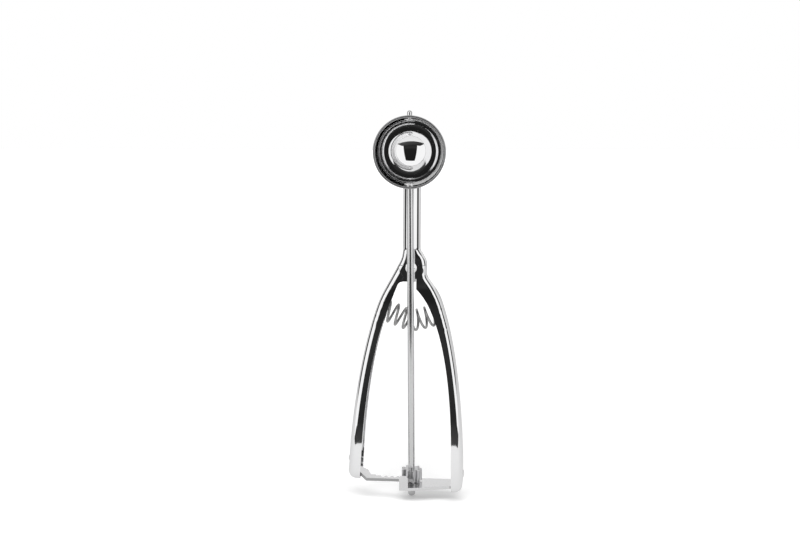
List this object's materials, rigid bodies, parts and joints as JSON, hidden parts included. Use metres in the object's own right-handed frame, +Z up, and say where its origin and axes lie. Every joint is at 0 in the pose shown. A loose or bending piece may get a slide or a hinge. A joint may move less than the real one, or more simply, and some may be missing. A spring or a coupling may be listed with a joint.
{
  "type": "lever ice cream scoop",
  "caption": "Squeeze-handle ice cream scoop: hemispherical bowl on a pressed steel frame, with a sprung lever whose rack turns a pinion, shaft and scraper blade in the bowl.",
  "frame": {"origin": "lower tip of the shaft's rounded foot, on the shaft axis", "axes": "+Z up along the shaft towards the bowl, +X towards the fixed handle, -Y is the side that the bowl opens to"},
  "size_m": [0.0699, 0.0317, 0.2326],
  "materials": {
    "bowl": "mirror-polished chrome-plated steel",
    "frame": "mirror-polished chrome-plated pressed steel",
    "lever": "mirror-polished chrome-plated pressed steel",
    "base": "bright chrome-plated steel plate",
    "rivet": "bright polished rivet steel",
    "bush": "turned bearing steel, satin",
    "spring": "bright drawn spring wire",
    "shaft": "ground bright steel rod",
    "pinion": "machined gear steel, satin",
    "blade": "polished steel strip",
    "clip": "phosphated spring steel",
    "stud": "plated steel, satin"
  },
  "bodies": {
    "frame": {"bowl": "bowl", "bowl_bush": "bush", "fixed_handle": "frame", "base_arm": "base", "base_arm_rivets": "rivet", "base_bush": "bush", "pivot_rivet": "rivet", "pivot_spacer": "stud", "spring_stud_fixed": "stud", "spring": "spring"},
    "lever": {"lever_handle": "lever", "rack_plate": "base", "rack_rivets": "rivet", "spring_stud_lever": "stud"},
    "sweep": {"shaft": "shaft", "pinion": "pinion", "shaft_clip": "clip", "sweep_blade": "blade", "blade_top_pin": "blade"}
  },
  "joints": [
    {"name": "squeeze", "type": "hinge", "parent": "frame", "child": "lever", "pos_m": [0, 0.0092, 0.1403], "axis": [0, -1, 0], "range_deg": [0, 6.71], "stiffness_Nm_per_rad": 1.16, "springref_deg": -8.02, "deforming": ["spring"]},
    {"name": "sweep", "type": "hinge", "parent": "frame", "child": "sweep", "pos_m": [0, 0, 0.209], "axis": [0, 0, 1], "range_deg": [0, 166.01]}
  ],
  "couplings": [
    {"joint": "sweep", "follows": "squeeze", "ratio": 24.732}
  ]
}
